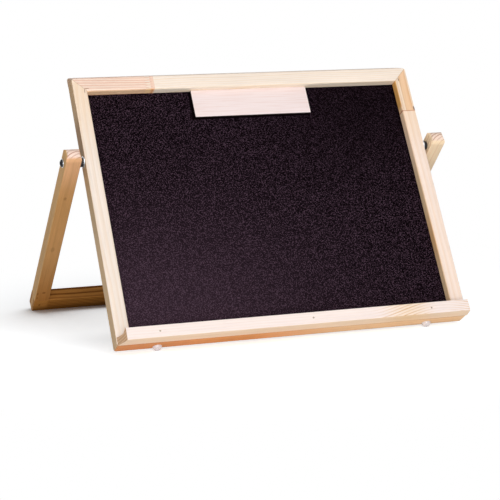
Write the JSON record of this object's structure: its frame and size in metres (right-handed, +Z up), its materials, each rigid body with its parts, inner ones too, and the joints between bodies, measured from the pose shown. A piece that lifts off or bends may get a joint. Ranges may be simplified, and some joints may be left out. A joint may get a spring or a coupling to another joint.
{
  "type": "tabletop easel",
  "caption": "Child's tabletop easel: a chalkboard in a mitred pine frame with a chalk tray, leaning on a U-shaped stand that turns on two bolts.",
  "frame": {"origin": "on the table, at the middle of the easel's footprint: midway between the two bolt heads, and midway between the tray's front edge and the back edge of the cross bar", "axes": "+X along the board to the viewer's right, +Y from the chalkboard's face to the back, +Z up"},
  "size_m": [0.5656, 0.4072, 0.3475],
  "materials": {
    "pine": "planed and lightly sanded, bare pale sapwood",
    "heart_pine": "planed and lightly sanded, bare pinkish heartwood",
    "stand_pine": "planed and lightly sanded, bare warm brown pine",
    "plywood": "sanded birch plywood, bare",
    "chalkboard": "hardboard with matt black chalkboard paint on its face, bare brown at the back",
    "zinc_steel": "bright zinc",
    "nail_steel": "plain wire nail",
    "black_steel": "black oxide",
    "brass": "turned",
    "black_rubber": "matt",
    "clear_rubber": "clear, glossy"
  },
  "bodies": {
    "board": {"top_rail": "pine", "top_rail_end": "heart_pine", "bottom_rail": "pine", "left_stile": "pine", "right_stile": "pine", "right_stile_end": "heart_pine", "corner_wedges": "zinc_steel", "chalk_panel": "chalkboard", "chalk_tray": "pine", "tray_nails": "nail_steel", "plaque": "plywood", "rubber_feet": "clear_rubber", "threaded_inserts": "brass", "wide_washers": "zinc_steel", "friction_spacers": "black_rubber", "head_washers": "zinc_steel", "pivot_bolts": "black_steel"},
    "stand": {"left_leg": "stand_pine", "right_leg": "stand_pine", "cross_bar": "stand_pine"}
  },
  "joints": [
    {"name": "stand_fold", "type": "hinge", "parent": "board", "child": "stand", "pos_m": [0, -0.04224, 0.23801], "axis": [1, 0, 0], "continuous": true}
  ]
}
